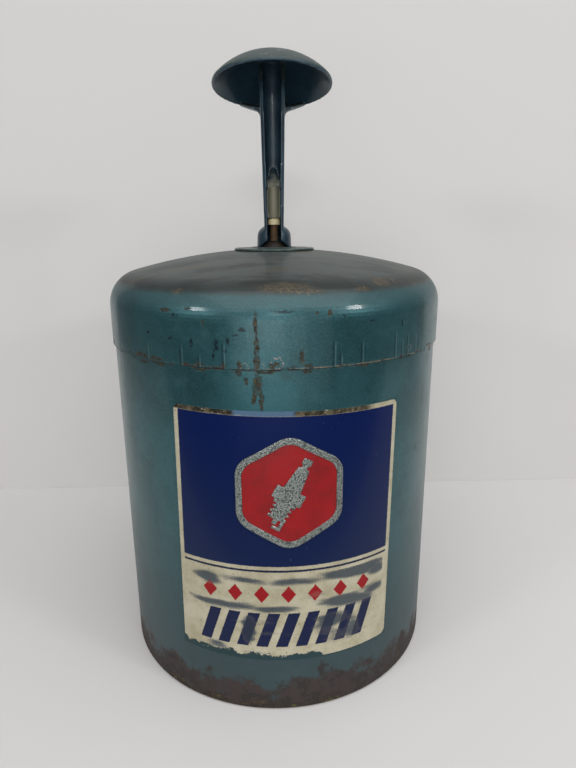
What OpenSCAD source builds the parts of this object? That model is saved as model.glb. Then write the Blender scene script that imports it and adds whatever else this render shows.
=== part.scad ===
// Air-blast cleaner for the firing ends of spark plugs. A sheet steel drum holds the abrasive
// in a funnel and a sump. A deep domed lid lifts off with all the works on it: a palm-pressed
// air valve in the middle and a suction-fed blast gun under a rubber plug hole at the back.
// Millimetres, +Z up. The origin is the centre of the bottom edge. The label side faces -Y.

/* [Drum] */
// Outside radius of the drum shell
drum_r = 127; // [118:0.5:136]
// Height of the drum's turned-in top edge
drum_h = 266; // [250:1:285]
// Thickness of the drum and lid sheet
sheet_t = 1.2; // [0.8:0.1:1.8]
// Width of the turned-in top edge
rim_w = 8; // [6:0.5:10]
// Width of the turned-in bottom edge
hem_w = 6; // [4:0.5:9]
// Height of the floor above the ground
floor_z = 9; // [7:0.5:14]
// Diameter of a vent hole at the back
vent_d = 5; // [3:0.5:7]
// Number of vent holes
vent_count = 7; // [3:2:9]
// Angle between two vent holes
vent_step = 6; // [5:0.5:7]
// Depth of the vent holes below the drum's top
vent_down = 30; // [28:1:40]

/* [Hopper] */
// Height of the ring that carries the funnel
hopper_z = 172; // [150:1:190]
// Height where the funnel ends in its neck
neck_z = 54; // [50:1:70]
// Thickness of the funnel sheet
hopper_t = 1; // [0.8:0.1:1.5]
// Outside radius of the abrasive sump
sump_r = 44; // [40:0.5:50]
// Height of the sump's wall
sump_h = 40; // [34:1:44]

/* [Lid] */
// Radial gap between the drum and the lid's skirt
lid_gap = 0.4; // [0.3:0.05:0.6]
// How far the skirt overlaps the drum
lid_overlap = 9; // [6:0.5:14]
// Straight height of the skirt
skirt_h = 28; // [27:0.5:34]
// Radius of the rounded shoulder
shoulder_r = 25; // [20:0.5:30]
// Radius of curvature of the shallow dome
dome_r = 413; // [380:1:460]
// Radius of the flat seat in the middle of the dome
seat_r = 33; // [32:0.5:38]
// Thickness of the rubber lid gasket
gasket_t = 3; // [2:0.25:4]

/* [Top flange] */
// Diameter of the flange disc
flange_d = 63; // [58:0.5:64]
// Thickness of the flange disc
flange_t = 2; // [1.5:0.25:3]
// Diameter of the raised ring and of the well below it
ring_d = 35; // [34:0.5:40]
// Height of the raised ring above the disc
ring_lip = 0.8; // [0.4:0.1:1.5]
// Wall between the ring's outside and the well
well_wall = 3.2; // [2.8:0.1:3.5]
// Thickness of the well's floor
well_floor_t = 4.5; // [4:0.5:7]
// Diameter of the rubber boot
boot_d = 21; // [19:0.5:21.5]
// How far the boot's crown stands above the flange disc
boot_rise = 5.8; // [4:0.2:7]

/* [Handle] */
// How far the handle is pressed down
travel = 9; // [6:0.5:10]
// Outside diameter of the foot that enters the ring
foot_d = 27; // [26:0.5:27.5]
// Height of the foot, from its edge to the top of its shoulder
foot_h = 16.6; // [16:0.2:19]
// Radius of the foot's shoulder
foot_round = 8; // [6:0.5:9]
// Width of the stem at the foot
stem_w_low = 15; // [14:0.2:16]
// Width of the stem under the head
stem_w_top = 18.2; // [17:0.2:20]
// Distance from the rod's axis to the front edges of the stem
stem_front = 7; // [6:0.5:9]
// Distance from the rod's axis to the back of the stem
stem_back = 8.5; // [8:0.5:10]
// Radius of the stem's crowned back
stem_crown = 10.5; // [10.5:0.1:12]
// Wall of the stem
stem_wall = 2.2; // [1.8:0.1:2.4]
// Height above the flange of the ledges where the stem's walls get thicker
ledge_up = 44.2; // [44:0.2:56]
// Height of the head's rim above the flange
head_up = 116.8; // [105:0.2:130]
// Diameter of the head's rim
head_d = 89.2; // [80:0.1:96]
// Radius of curvature of the palm cap
cap_r = 61; // [57:0.1:70]
// Wall of the head
head_wall = 2.6; // [2:0.1:3.2]
// Slope of the flare that joins the stem's back to the head
flare = 25; // [20:0.5:28]
// Forward tilt of the head
head_tilt = 9; // [0:0.5:12]
// Diameter of the boss inside the stem
boss_d = 10.1; // [9.5:0.1:10.5]
// Height of the boss's lower end above the flange
boss_up = 22.2; // [20:0.2:24]
// Length of the boss
boss_len = 21; // [18:0.5:21.5]
// Height of the rod collar
collar_h = 4.6; // [3:0.2:5]

/* [Valve] */
// Diameter of the push rod
rod_d = 6; // [5:0.1:6.4]
// Outside radius of the valve barrel
barrel_r = 12; // [11.5:0.25:12.2]
// Length of the valve barrel
barrel_len = 47.4; // [46:0.2:52]
// Thickness of the valve's mounting flange
valve_flange_t = 4; // [3:0.5:5]
// Radius of the seat hole and of the upper chamber
port_r = 6; // [5.5:0.25:6.5]
// Radius of the lower chamber
chamber_r = 9; // [8.5:0.25:9.25]
// Distance from the barrel's top to the seat
seat_drop = 15.4; // [14:0.2:17]
// Thickness of the poppet's rubber face
seal_t = 2.5; // [2:0.25:3]
// Thickness of the brass poppet
poppet_t = 4; // [3:0.25:5]
// Wire diameter of the valve spring
wire_d = 1.1; // [0.8:0.1:1.2]
// Number of turns of the valve spring
spring_turns = 5; // [4:1:6]

/* [Air line] */
// Height of the air inlet above the skirt's lower edge
inlet_up = 22; // [22:0.25:23]
// Angle of the air inlet from the back, towards -X
inlet_angle = 35; // [30:1:60]
// Width across flats of the inlet's hexagon
inlet_flats = 19; // [17:1:22]
// Length of the inlet outside the skirt
inlet_len = 17; // [14:1:24]
// Radius of the inlet's hose thread
inlet_bore_r = 5.6; // [5:0.1:6]
// Depth of the inlet's hose thread
inlet_bore_len = 12; // [10:0.5:13]
// Radius of the inlet's shank through the skirt
shank_r = 6.6; // [6.4:0.1:7]
// Outside radius of the air pipes
pipe_r = 3.5; // [3:0.1:4]
// Wall of the air pipes
pipe_wall = 1; // [0.8:0.1:1.2]
// Bend radius of the blast pipe
bend_r = 8; // [7:0.5:9]

/* [Blast gun] */
// Distance of the plug hole from the drum's axis
gun_y = 72; // [68:0.5:76]
// Radius of the plug hole in the rubber adapter
plug_bore_r = 7.1; // [6:0.1:8]
// Length of the straight plug hole
plug_bore_len = 13; // [10:0.5:14]
// Radius of the adapter's clamp ring
clamp_r = 22; // [21.5:0.5:24]
// Radius of the gun's barrel
gun_r = 15.5; // [15.4:0.1:15.8]
// Radius of the blast chamber around the plug's end
blast_r = 12.5; // [12:0.25:13]
// Depth of the blast chamber below the lid
blast_depth = 30; // [28:1:34]
// Depth of the gun's barrel below the lid
gun_depth = 44; // [42:1:48]
// Length of the mixing block
mixer_len = 22; // [20:1:26]
// Outside radius of the suction tube
suction_r = 5; // [4:0.25:6]
// Height of the suction tube's tip above the ground
tip_z = 24; // [20:1:30]

/* [Hidden] */

$fn = 96;
// Clearance of a fixed joint, of a running fit and of a soft part
fit = 0.05;
slip = 0.06;
soft = 0.3;
// Overshoot of a cut past the surface that it opens
cut = 1;

// Lid: the skirt, then a shoulder arc, then the dome arc, each tangent to the next
lid_r = drum_r + lid_gap + sheet_t;
lid_z = drum_h - lid_overlap;
shoulder_c = [lid_r - shoulder_r, lid_z + skirt_h];
dome_cz = shoulder_c.y - sqrt(pow(dome_r - shoulder_r, 2) - pow(shoulder_c.x, 2));
join_a = atan2(shoulder_c.y - dome_cz, shoulder_c.x);
seat_z = dome_cz + sqrt(dome_r * dome_r - seat_r * seat_r);
gasket_z = drum_h + gasket_t;
inlet_z = lid_z + inlet_up;

// Vents, and the felt and keeper behind them
vent_z = drum_h - vent_down;
felt_t = 4;
felt_margin = 7;
keeper_t = 1;

// Flange, well and boot, stacked on the flat seat
disc_z = seat_z + flange_t;
ring_r = ring_d / 2;
well_r = ring_r - well_wall;
foot_z = disc_z;
well_z = foot_z - travel - 0.5;
barrel_z = well_z - well_floor_t;
boot_r = boot_d / 2;
boot_crown = (boot_r * boot_r + boot_rise * boot_rise) / (2 * boot_rise);
nut_h = 6;
nut_r = ring_r + 7.5;

// Rod and valve, measured down from the barrel's top
rod_r = rod_d / 2;
tail_r = rod_r - 1;
valve_seat_z = barrel_z - seat_drop;
barrel_end = barrel_z - barrel_len;
upper_len = 9;
seal_top = valve_seat_z - soft;
poppet_top = seal_top - seal_t;
poppet_z = poppet_top - poppet_t;
rod_nut_h = 3.2;
rod_end = poppet_z - rod_nut_h - 1;
cap_plug = 8;
cap_recess = 4;
spring_seat = barrel_end + cap_plug - cap_recess;
spring_lo = spring_seat + soft;
spring_hi = poppet_z - soft;
spring_r = 5.6;
outlet_z = valve_seat_z + 5;
boss_end = barrel_r + 5;
socket_len = 5;
screw_pcd_r = (barrel_r + ring_r) / 2;

// Handle
boss_z = foot_z + boss_up;
ledge_z = foot_z + ledge_up;
head_z = foot_z + head_up;
collar_z = boss_z - collar_h;
foot_r = foot_d / 2;
foot_top = foot_z + foot_h;
stem_z = foot_top - 3;
rim_r = head_d / 2;
lip_r = 3;
cap_cz = -sqrt(pow(cap_r - lip_r, 2) - pow(rim_r - lip_r, 2));
cap_a = atan2(-cap_cz, rim_r - lip_r);
stem_top = head_z + cap_cz + cap_r - head_wall - 2;
flare_r = 9;
under_r = 2.5;
lip_drop = 1.3;
arch_h = boot_rise + 0.8;
arch_r = (pow(boot_r + 0.5, 2) + pow(arch_h, 2)) / (2 * arch_h);
rib_len = 18;
grub_z = boss_z + 9;
rod_top = boss_z + 15;

// Gun frame: local z is the dome's outward normal at the plug hole
gun_tilt = asin(gun_y / dome_r);
gun_top = -sheet_t - sag(clamp_r + 1) - fit;
hole_r = blast_r + 2.7;
lip_over = hole_r + 1.6;
ring_hole_r = hole_r - 2;
mixer_z = -gun_depth - mixer_len;
jet_z = -gun_depth - 8;
tip_len = (dome_z(gun_y) - tip_z) / cos(gun_tilt);
gun_screw_r = (lip_over + clamp_r) / 2 + 0.1;

function arc(c, r, from, to, n) =
    [for (i = [0:n]) let (a = from + (to - from) * i / n) c + r * [cos(a), sin(a)]];
function flip(v) = [for (i = [len(v) - 1:-1:0]) v[i]];
function dome_z(r) = dome_cz + sqrt(dome_r * dome_r - r * r);
function sag(r) = dome_r - sqrt(dome_r * dome_r - r * r);

module revolve(points) rotate_extrude() polygon(points);
module tube(ro, ri, z0, z1) revolve([[ri, z0], [ro, z0], [ro, z1], [ri, z1]]);
module at_gun() translate([0, gun_y, dome_z(gun_y)]) rotate([-gun_tilt, 0, 0]) children();
module at_inlet() rotate([0, 0, inlet_angle]) translate([0, 0, inlet_z]) rotate([-90, 0, 0]) children();
module at_outlet() translate([0, 0, outlet_z]) rotate([-90, 0, 0]) children();
module at_head() translate([0, 0, head_z]) rotate([-head_tilt, 0, 0]) children();
module around(n, r, start = 0)
    for (i = [0:n - 1]) rotate([0, 0, start + 360 * i / n]) translate([r, 0, 0]) children();

// Drum

module drum_shell() color("#3f757b") difference() {
    revolve(concat(
        [[drum_r - hem_w, 0]], arc([drum_r - 2, 2], 2, -90, 0, 4),
        arc([drum_r - 2, drum_h - 2], 2, 0, 90, 4),
        [[drum_r - rim_w, drum_h], [drum_r - rim_w, drum_h - sheet_t],
         [drum_r - sheet_t, drum_h - sheet_t], [drum_r - sheet_t, sheet_t], [drum_r - hem_w, sheet_t]]));
    for (i = [0:vent_count - 1])
        rotate([0, 0, 90 + (i - (vent_count - 1) / 2) * vent_step])
            translate([drum_r - 2 * sheet_t, 0, vent_z]) rotate([0, 90, 0]) cylinder(d = vent_d, h = 4 * sheet_t);
}

module drum_base() color("#5b6668") revolve(concat(
    [[0, floor_z - sheet_t], [drum_r - 4 * sheet_t, floor_z - sheet_t],
     [drum_r - 2 * sheet_t - fit, floor_z - 2 * sheet_t], [drum_r - 2 * sheet_t - fit, sheet_t],
     [drum_r - sheet_t - fit, sheet_t]],
    arc([drum_r - sheet_t - fit - 2, floor_z - 2], 2, 0, 90, 4),
    [[0, floor_z]]));

module hopper_ring() color("#6b7375") let (r = drum_r - sheet_t - fit) revolve(
    [[r - sheet_t, hopper_z - 12], [r, hopper_z - 12], [r, hopper_z],
     [r - 8, hopper_z], [r - 8, hopper_z - sheet_t], [r - sheet_t, hopper_z - sheet_t]]);

module hopper_cone() color("#8b9294")
    let (r = drum_r - sheet_t - 0.5, top = hopper_z, neck = sump_r - sheet_t - 0.5, t = hopper_t,
         low = floor_z + sump_h - 8, mouth = drum_r - sheet_t - 9)
    revolve([[r, top], [r, top + t], [mouth - t, top + t], [neck - t, neck_z], [neck - t, low],
             [neck, low], [neck, neck_z - t / 2], [mouth, top]]);

module sump_cup() color("#8b9294") difference() {
    revolve([[0, floor_z], [sump_r + 9, floor_z], [sump_r + 9, floor_z + sheet_t],
             [sump_r, floor_z + sheet_t], [sump_r, floor_z + sump_h], [sump_r - sheet_t, floor_z + sump_h],
             [sump_r - sheet_t, floor_z + sheet_t], [0, floor_z + sheet_t]]);
    around(6, sump_r + 4.5) translate([0, 0, floor_z - cut]) cylinder(r = 1.6, h = sheet_t + 2 * cut);
}

module sump_rivets() color("#9aa0a2") around(6, sump_r + 4.5)
    revolve([[0, floor_z], [1.55, floor_z], [1.55, floor_z + sheet_t], [3, floor_z + sheet_t],
             [2.6, floor_z + sheet_t + 1], [1.4, floor_z + sheet_t + 1.6], [0, floor_z + sheet_t + 1.7]]);

module lid_gasket() color("#2b2b2b") revolve(concat(
    [[drum_r - rim_w, drum_h], [drum_r - 2, drum_h]],
    arc([drum_r - 2 - 1, gasket_z - 1], 1, 0, 90, 4), [[drum_r - rim_w, gasket_z]]));

vent_span = (vent_count - 1) * vent_step + 2 * atan((vent_d + felt_margin) / drum_r);
module vent_arc(points) rotate([0, 0, 90 - vent_span / 2]) rotate_extrude(angle = vent_span) polygon(points);

module vent_felt() color("#b9ae93") let (r = drum_r - sheet_t - fit, h = vent_d / 2 + felt_margin)
    vent_arc([[r - felt_t, vent_z - h], [r, vent_z - h], [r, vent_z + h], [r - felt_t, vent_z + h]]);

module vent_retainer() color("#7c8486")
    let (r = drum_r - sheet_t - fit, t = keeper_t, back = r - felt_t - 2 * fit, h = vent_d / 2 + felt_margin + 0.2)
    difference() {
        vent_arc([[back - t, vent_z - h - t], [r, vent_z - h - t], [r, vent_z - h],
                  [back, vent_z - h], [back, vent_z + h], [r, vent_z + h],
                  [r, vent_z + h + t], [back - t, vent_z + h + t]]);
        for (i = [0:vent_count - 1])
            rotate([0, 0, 90 + (i - (vent_count - 1) / 2) * vent_step])
                translate([back - 3 * t, 0, vent_z]) rotate([0, 90, 0]) cylinder(d = vent_d + 1, h = felt_t + 2 * t);
    }

// Lid

function lid_skin(t) = concat(
    arc(shoulder_c, shoulder_r - t, 0, join_a, 14),
    arc([0, dome_cz], dome_r - t, join_a, acos((seat_r + t) / (dome_r - t)), 10));

module lid() color("#4a7d82") difference() {
    revolve(concat(
        [[lid_r, lid_z]], lid_skin(0), [[ring_r + fit, seat_z], [ring_r + fit, seat_z - sheet_t],
         [seat_r, seat_z - sheet_t]], flip(lid_skin(sheet_t)), [[lid_r - sheet_t, lid_z]]));
    at_gun() translate([0, 0, -6]) cylinder(r = hole_r, h = 12);
    at_gun() around(3, gun_screw_r, 90) translate([0, 0, -6]) cylinder(r = 1.7, h = 12);
    at_inlet() translate([0, 0, lid_r - 6]) cylinder(r = shank_r + fit, h = 12);
}

module lid_seat_ring() color("#6b7375") let (r = lid_r - sheet_t - fit, z = gasket_z + soft) difference() {
    revolve([[drum_r - rim_w, z], [r, z], [r, z + sheet_t + 3], [r - sheet_t, z + sheet_t + 3],
             [r - sheet_t, z + sheet_t], [drum_r - rim_w, z + sheet_t]]);
    at_inlet() translate([0, 0, drum_r - 20]) cylinder(r = 11.5, h = 24);
}

module top_flange() color("#5f777b") difference() {
    revolve(concat(
        [[rod_r + 0.4, barrel_z], [ring_r, barrel_z], [ring_r, seat_z]],
        arc([flange_d / 2 - flange_t / 2, seat_z + flange_t / 2], flange_t / 2, -90, 90, 6),
        [[ring_r + 1, disc_z], [ring_r, disc_z + ring_lip], [well_r + 0.6, disc_z + ring_lip],
         [well_r, disc_z], [well_r, well_z], [rod_r + 0.4, well_z]]));
    around(3, screw_pcd_r, 30) translate([0, 0, barrel_z - cut]) cylinder(r = 1.55, h = 3.5 + cut);
}

module flange_nut() color("#7c8486") let (top = seat_z - sheet_t) difference() {
    tube(nut_r, ring_r + fit, top - nut_h, top);
    around(4, nut_r) translate([0, 0, top - nut_h / 2]) cube([6, 5, nut_h + cut], center = true);
}

module rod_boot() color("#2e2823") revolve(concat(
    [[rod_r + soft, well_z], [boot_r, well_z]],
    arc([0, disc_z + boot_rise - boot_crown], boot_crown,
        acos(boot_r / boot_crown), acos((rod_r + soft) / boot_crown), 10)));

// Valve

module valve_body() color("#b08d4b") difference() {
    union() {
        tube(ring_r, rod_r, barrel_z - valve_flange_t, barrel_z);
        tube(barrel_r, rod_r, barrel_end, barrel_z - valve_flange_t);
        at_outlet() translate([0, 0, rod_r + 1]) cylinder(r = pipe_r + 2, h = boss_end - rod_r - 1);
        at_inlet() translate([0, 0, rod_r + 1]) cylinder(r = pipe_r + 2, h = boss_end - rod_r - 1);
    }
    translate([0, 0, barrel_end - cut]) cylinder(r = rod_r + slip, h = barrel_len + 2 * cut);
    translate([0, 0, valve_seat_z - cut]) cylinder(r = port_r, h = upper_len + cut);
    translate([0, 0, barrel_end - cut]) cylinder(r = chamber_r, h = valve_seat_z - barrel_end + cut);
    translate([0, 0, barrel_z - 2.5]) cylinder(r = rod_r + 2, h = 2.5 + cut);
    at_outlet() cylinder(r = pipe_r - pipe_wall, h = boss_end + cut);
    at_inlet() cylinder(r = pipe_r - pipe_wall, h = boss_end + cut);
    at_outlet() translate([0, 0, boss_end - socket_len]) cylinder(r = pipe_r + fit, h = socket_len + cut);
    at_inlet() translate([0, 0, boss_end - socket_len]) cylinder(r = pipe_r + fit, h = socket_len + cut);
    around(3, screw_pcd_r, 30) translate([0, 0, barrel_z - 8]) cylinder(r = 1.6, h = 10);
}

module valve_screws() color("#8d9496") around(3, screw_pcd_r, 30) translate([0, 0, barrel_z]) difference() {
    revolve([[0, -valve_flange_t - 2.4], [2.55, -valve_flange_t - 2.4], [2.55, -valve_flange_t],
             [1.5, -valve_flange_t], [1.5, 3.2], [0, 3.2]]);
    translate([0, 0, -valve_flange_t - 2.4]) cube([6, 0.8, 1.8], center = true);
}

module valve_cap() color("#a98746") union() {
    revolve([[0, barrel_end - 1], [chamber_r - fit, barrel_end - 1], [chamber_r - fit, barrel_end + cap_plug],
             [spring_r + 1.6, barrel_end + cap_plug], [spring_r + 1.6, spring_seat], [0, spring_seat]]);
    translate([0, 0, barrel_end - 6]) cylinder(r = 12.7, h = 6, $fn = 6);
}

module rod_seal() color("#2b2b2b")
    tube(rod_r + 2 - fit, rod_r + soft, barrel_z - 2.45, barrel_z - fit);

spring_rings = 8;
spring_sides = 6;
function spring_mid(i) = let (a = 360 * i / spring_rings, n = spring_turns * spring_rings)
    [spring_r * cos(a), spring_r * sin(a),
     spring_lo + wire_d / 2 + (spring_hi - spring_lo - wire_d) * i / n];
function spring_ring(i) = let (m = spring_mid(i), a = 360 * i / spring_rings)
    [for (k = [0:spring_sides - 1]) let (b = 360 * k / spring_sides)
        m + wire_d / 2 * [cos(b) * cos(a), cos(b) * sin(a), sin(b)]];
spring_gap = min([for (i = [0:(spring_turns - 1) * spring_rings])
    norm(spring_mid(i + spring_rings) - spring_mid(i))]) - wire_d;
echo(valve_spring_least_gap = spring_gap);

module valve_spring() color("#a9afb1") let (n = spring_turns * spring_rings, s = spring_sides)
    polyhedron(
        points = [for (i = [0:n]) each spring_ring(i)],
        faces = concat(
            [[for (k = [0:s - 1]) k]], [[for (k = [s - 1:-1:0]) n * s + k]],
            [for (i = [0:n - 1], k = [0:s - 1]) each
                [[i * s + k, (i + 1) * s + k, (i + 1) * s + (k + 1) % s],
                 [i * s + k, (i + 1) * s + (k + 1) % s, i * s + (k + 1) % s]]]));

// Air line

shank_in = lid_r - sheet_t - 10;

module air_inlet() color("#b08d4b") at_inlet() difference() {
    union() {
        translate([0, 0, shank_in]) cylinder(r = shank_r, h = lid_r - shank_in + 1);
        translate([0, 0, lid_r]) cylinder(r = inlet_flats / 2 / cos(30), h = inlet_len - 4, $fn = 6);
        translate([0, 0, lid_r]) cylinder(r = inlet_flats / 2 - 1.2, h = inlet_len);
    }
    translate([0, 0, shank_in - cut]) cylinder(r = pipe_r - pipe_wall, h = lid_r + inlet_len);
    translate([0, 0, lid_r + inlet_len - inlet_bore_len]) cylinder(r = inlet_bore_r, h = inlet_bore_len + cut);
    translate([0, 0, shank_in - cut]) cylinder(r = pipe_r + fit, h = socket_len + cut);
}

module inlet_locknut() color("#8d9496")
    let (corner = 9.8, face = sqrt(pow(lid_r - sheet_t, 2) - pow(corner, 2)) - 0.4)
    at_inlet() difference() {
        translate([0, 0, face - 5]) cylinder(r = corner, h = 5, $fn = 6);
        translate([0, 0, face - 6]) cylinder(r = shank_r + fit, h = 8);
    }

module inlet_pipe() color("#b0653c") at_inlet()
    tube(pipe_r, pipe_r - pipe_wall, boss_end - socket_len + fit, shank_in + socket_len - fit);

// The blast pipe leaves the valve, turns down, and turns into the gun's front port.
module pipe_straight(len) tube(pipe_r, pipe_r - pipe_wall, 0, len);
// A bend starts along local +z and turns towards local +y. A soldered sleeve joins the halves.
module pipe_bend(a) translate([0, bend_r, 0]) rotate([90, 0, -90])
    rotate_extrude(angle = a) translate([bend_r, 0]) difference() {
        circle(r = pipe_r, $fn = 48);
        circle(r = pipe_r - pipe_wall, $fn = 48);
    }
// A point in the gun's frame, seen in the plane x = 0 as [y, z]
function gun_point(y, z) = [gun_y + y * cos(gun_tilt) + z * sin(gun_tilt),
                            dome_z(gun_y) - y * sin(gun_tilt) + z * cos(gun_tilt)];
pipe_y = 28;
turn = 90 - gun_tilt;
port = gun_point(-(gun_r + 1), jet_z);
bend_out_y = pipe_y + bend_r * (1 - cos(turn));
line_z = port.y + (port.x - bend_out_y) * tan(gun_tilt);
bend_in_z = line_z + bend_r * sin(turn);

module blast_pipe() color("#b0653c") {
    translate([0, boss_end - socket_len + fit, outlet_z]) rotate([-90, 0, 0])
        pipe_straight(pipe_y - bend_r - boss_end + socket_len - fit);
    translate([0, pipe_y - bend_r, outlet_z]) rotate([-90, 0, 0]) pipe_bend(90);
    translate([0, pipe_y, bend_in_z]) pipe_straight(outlet_z - bend_r - bend_in_z);
    translate([0, pipe_y, bend_in_z]) rotate([0, 180, 0]) pipe_bend(turn);
    translate([0, bend_out_y, line_z]) rotate([-90 - gun_tilt, 0, 0]) {
        pipe_straight((port.x - bend_out_y) / cos(gun_tilt) + socket_len - fit);
        tube(pipe_r + 0.7, pipe_r - pipe_wall / 2, -2, 3);
    }
}

// Plug adapter and blast gun, in the gun's frame

module plug_adapter() color("#26241f") at_gun() revolve(
    [[plug_bore_r, -3 - plug_bore_len], [blast_r - soft, -3 - plug_bore_len], [blast_r - soft, gun_top - 5],
     [hole_r - 0.2, gun_top - 5], [hole_r - 0.2, 0], [lip_over, 0], [lip_over, 2.4], [ring_hole_r - 0.2, 2.4],
     [ring_hole_r - 0.8, 3.6], [plug_bore_r + 4, 3.6], [plug_bore_r, -3]]);

module adapter_ring() color("#8d9496") at_gun() difference() {
    let (under = -sag(lip_over + 0.4) + fit) revolve(
        [[lip_over + 0.4, under], [clamp_r, under], [clamp_r, 2], [clamp_r - 1.2, 3.2],
         [ring_hole_r, 3.2], [ring_hole_r, 2.5], [lip_over + 0.4, 2.5]]);
    around(3, gun_screw_r, 90) {
        translate([0, 0, -2]) cylinder(r = 1.6, h = 7);
        translate([0, 0, 1.6]) cylinder(r1 = 1.6, r2 = 3.3, h = 1.7);
    }
}

module adapter_screws() color("#9aa0a2") at_gun() around(3, gun_screw_r, 90)
    revolve([[0, gun_top - 8], [1.5, gun_top - 8], [1.5, 1.65], [3, 3.15], [0, 3.15]]);

module adapter_nuts() color("#9aa0a2") at_gun() around(3, gun_screw_r, 90) difference() {
    translate([0, 0, gun_top - 4 - 2.4]) rotate([0, 0, 30]) cylinder(r = 3.18, h = 2.4, $fn = 6);
    translate([0, 0, gun_top - 8]) cylinder(r = 1.5 + fit, h = 6);
}

module gun_body() color("#9ba1a3") at_gun() difference() {
    union() {
        tube(clamp_r + 1, 1, gun_top - 4, gun_top);
        tube(gun_r, 1, -gun_depth, gun_top - 4);
    }
    translate([0, 0, gun_top - 5]) cylinder(r = hole_r, h = 5 + cut);
    translate([0, 0, -blast_depth]) cylinder(r = blast_r, h = blast_depth);
    translate([0, 0, -gun_depth - cut]) cylinder(r = suction_r + fit, h = gun_depth);
    around(3, 0, 30) translate([gun_r / 2 + 2, 0, -blast_depth + 6]) cube([gun_r + 4, 9, 12], center = true);
    around(3, gun_screw_r, 90) translate([0, 0, gun_top - 6]) cylinder(r = 1.6, h = 8);
}

module blast_nozzle() color("#6f7577") at_gun() revolve(
    [[3, -gun_depth], [suction_r, -gun_depth], [suction_r, -blast_depth], [7.5, -blast_depth],
     [7.5, -blast_depth + 2], [suction_r, -blast_depth + 2], [4, -blast_depth + 7], [2, -blast_depth + 7]]);

module mixing_block() color("#9ba1a3") at_gun() difference() {
    union() {
        tube(gun_r, 1, mixer_z, -gun_depth);
        translate([0, 0, jet_z]) rotate([90, 0, 0]) cylinder(r = pipe_r + 2, h = gun_r + 1);
    }
    translate([0, 0, -gun_depth - 16]) cylinder(r = suction_r - 0.8, h = 16 + cut);
    translate([0, 0, mixer_z - cut]) cylinder(r = suction_r + fit, h = 8 + cut);
    translate([0, 0, jet_z]) rotate([90, 0, 0]) cylinder(r = 2.2, h = gun_r + 2);
    translate([0, -gun_r - 1 + socket_len, jet_z]) rotate([90, 0, 0]) cylinder(r = pipe_r + fit, h = socket_len + cut);
}

module air_jet() color("#c2a25a") at_gun() difference() {
    union() {
        translate([0, 0, jet_z]) rotate([90, 0, 0]) cylinder(r = 2.15, h = gun_r - socket_len + 0.8);
        translate([0, 0, jet_z]) sphere(r = 2.15);
        translate([0, 0, jet_z]) cylinder(r = 2.15, h = 4);
        translate([0, 0, jet_z + 4]) cylinder(r1 = 2.15, r2 = 1.4, h = 2.5);
    }
    translate([0, 0.8, jet_z]) rotate([90, 0, 0]) cylinder(r = 0.8, h = gun_r + 4);
    translate([0, 0, jet_z]) cylinder(r = 0.8, h = 8);
}

module suction_tube() color("#9aa0a2") at_gun() tube(suction_r, suction_r - 1.2, -tip_len, mixer_z + 8 - fit);

// Handle: a hollow casting, open to the front, that flares out of its stem into a palm cap

// The lip joins the cap to the sloped underside, which runs in to the stem's fillet
under_end = [rim_r - under_r + under_r * sin(flare), -under_r * cos(flare)];
fillet_x = stem_w_top / 2 + flare_r * (1 - sin(flare));
fillet_z = under_end.y - (under_end.x - fillet_x) * tan(flare) - flare_r * cos(flare);
function cap_skin(t) = arc([0, cap_cz], cap_r - t, 90, cap_a, 16);

module head_outside() at_head() revolve(concat(
    cap_skin(0), arc([rim_r - lip_r, 0], lip_r, cap_a, 0, 5),
    arc([rim_r - under_r, 0], under_r, 0, flare - 90, 5),
    arc([stem_w_top / 2 + flare_r, fillet_z], flare_r, 90 + flare, 180, 8), [[0, fillet_z]]));

module head_inside() at_head() let (w = head_wall, s = w / cos(flare), x = rim_r - w) revolve(concat(
    arc([0, cap_cz], cap_r - w, 90, acos(x / (cap_r - w)), 16),
    [[x, under_end.y + s - (under_end.x - x) * tan(flare)],
     [0, under_end.y + s - under_end.x * tan(flare)]]));

// Below its lip the head is open at the front and sides, and only a flare behind the stem is left
module head_open() let (w = stem_w_top / 2, far = rim_r + 16, back = 0.85 * far) intersection() {
    translate([0, 0, head_z - 60]) linear_extrude(80) polygon([
        [-w, -stem_front], [-w, -3], [-0.32 * rim_r, 0.07 * rim_r], [-0.36 * rim_r, 0.22 * rim_r], [-0.53 * far, back],
        [-far, back], [-far, -far], [far, -far], [far, back], [0.53 * far, back], [0.36 * rim_r, 0.22 * rim_r],
        [0.32 * rim_r, 0.07 * rim_r], [w, -3], [w, -stem_front]]);
    at_head() {
        translate([-far, -far, -lip_drop - 60]) cube([2 * far, 2 * far, 60]);
        revolve([[0, 0.6], [rim_r - head_wall - 0.6, 0.6], [rim_r - 1, -lip_drop - 0.2], [rim_r - 1, -60], [0, -60]]);
    }
}

function stem_w(z) = stem_w_low + (stem_w_top - stem_w_low) * (z - foot_top) / (head_z - 20 - foot_top);
module crowned(wall) translate([0, stem_back - stem_crown]) circle(r = stem_crown - wall);

// The stem's form inside a wall: sides that lean outwards, an open front and a crowned back
module stem_form(z0, z1, wall, front) intersection() {
    let (w0 = stem_w(z0) / 2 - wall, w1 = stem_w(z1) / 2 - wall)
        rotate([90, 0, 0]) linear_extrude(4 * stem_crown, center = true)
            polygon([[-w0, z0], [w0, z0], [w1, z1], [-w1, z1]]);
    translate([0, 0, z0 - cut]) linear_extrude(z1 - z0 + 2 * cut) {
        crowned(wall);
        translate([wall - stem_crown, -front]) square([2 * (stem_crown - wall), front + stem_back - stem_crown]);
    }
}

// The walls of the channel slope back above the rim, to meet the roof of the cap
module rail_slope() rotate([90, 0, 90]) linear_extrude(2 * stem_w_top, center = true)
    polygon([[-stem_front - 20, head_z + 2], [-stem_front, head_z + 2], [stem_back - 4, stem_top + 2],
             [-stem_front - 20, stem_top + 2]]);

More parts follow.
